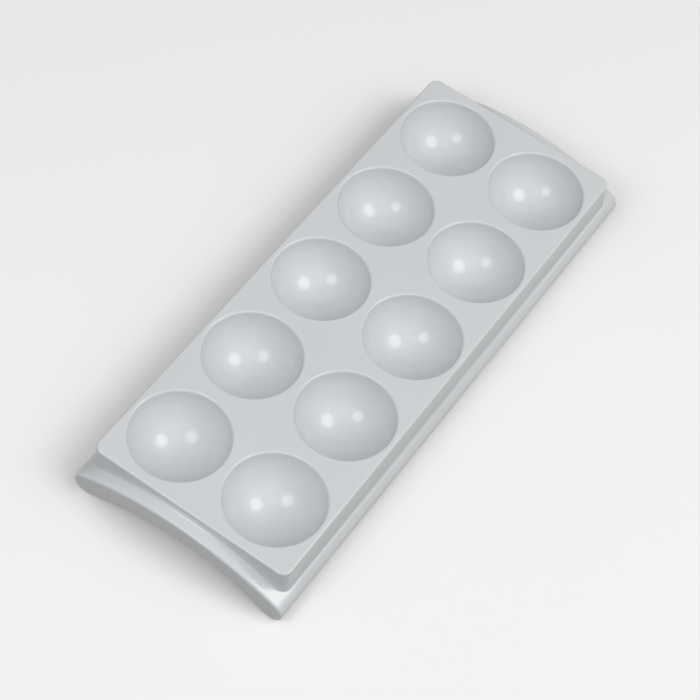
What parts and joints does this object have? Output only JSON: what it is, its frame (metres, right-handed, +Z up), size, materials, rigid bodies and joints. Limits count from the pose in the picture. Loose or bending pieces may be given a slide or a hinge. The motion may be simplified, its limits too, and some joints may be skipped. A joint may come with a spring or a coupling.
{
  "type": "egg holder tray",
  "caption": "Long low tray with two rows of round egg cups in a raised flat deck, rounded side rails and arched finger grips at both ends.",
  "frame": {"origin": "on the surface that the tray stands on, under the middle of the tray", "axes": "+X along the tray, +Y across it, +Z up"},
  "size_m": [0.2598, 0.102, 0.025],
  "materials": {
    "tray_plastic": "satin gloss, light cool grey"
  },
  "bodies": {
    "root": {"deck_plate": "tray_plastic", "egg_cup_left_1": "tray_plastic", "egg_cup_left_2": "tray_plastic", "egg_cup_left_3": "tray_plastic", "egg_cup_left_4": "tray_plastic", "egg_cup_left_5": "tray_plastic", "egg_cup_right_1": "tray_plastic", "egg_cup_right_2": "tray_plastic", "egg_cup_right_3": "tray_plastic", "egg_cup_right_4": "tray_plastic", "egg_cup_right_5": "tray_plastic", "deck_wall_left": "tray_plastic", "deck_wall_right": "tray_plastic", "deck_wall_near": "tray_plastic", "deck_wall_far": "tray_plastic", "side_rail_left": "tray_plastic", "side_rail_right": "tray_plastic", "end_ledge_near": "tray_plastic", "end_ledge_far": "tray_plastic", "end_plate_near": "tray_plastic", "end_plate_far": "tray_plastic"}
  },
  "joints": []
}
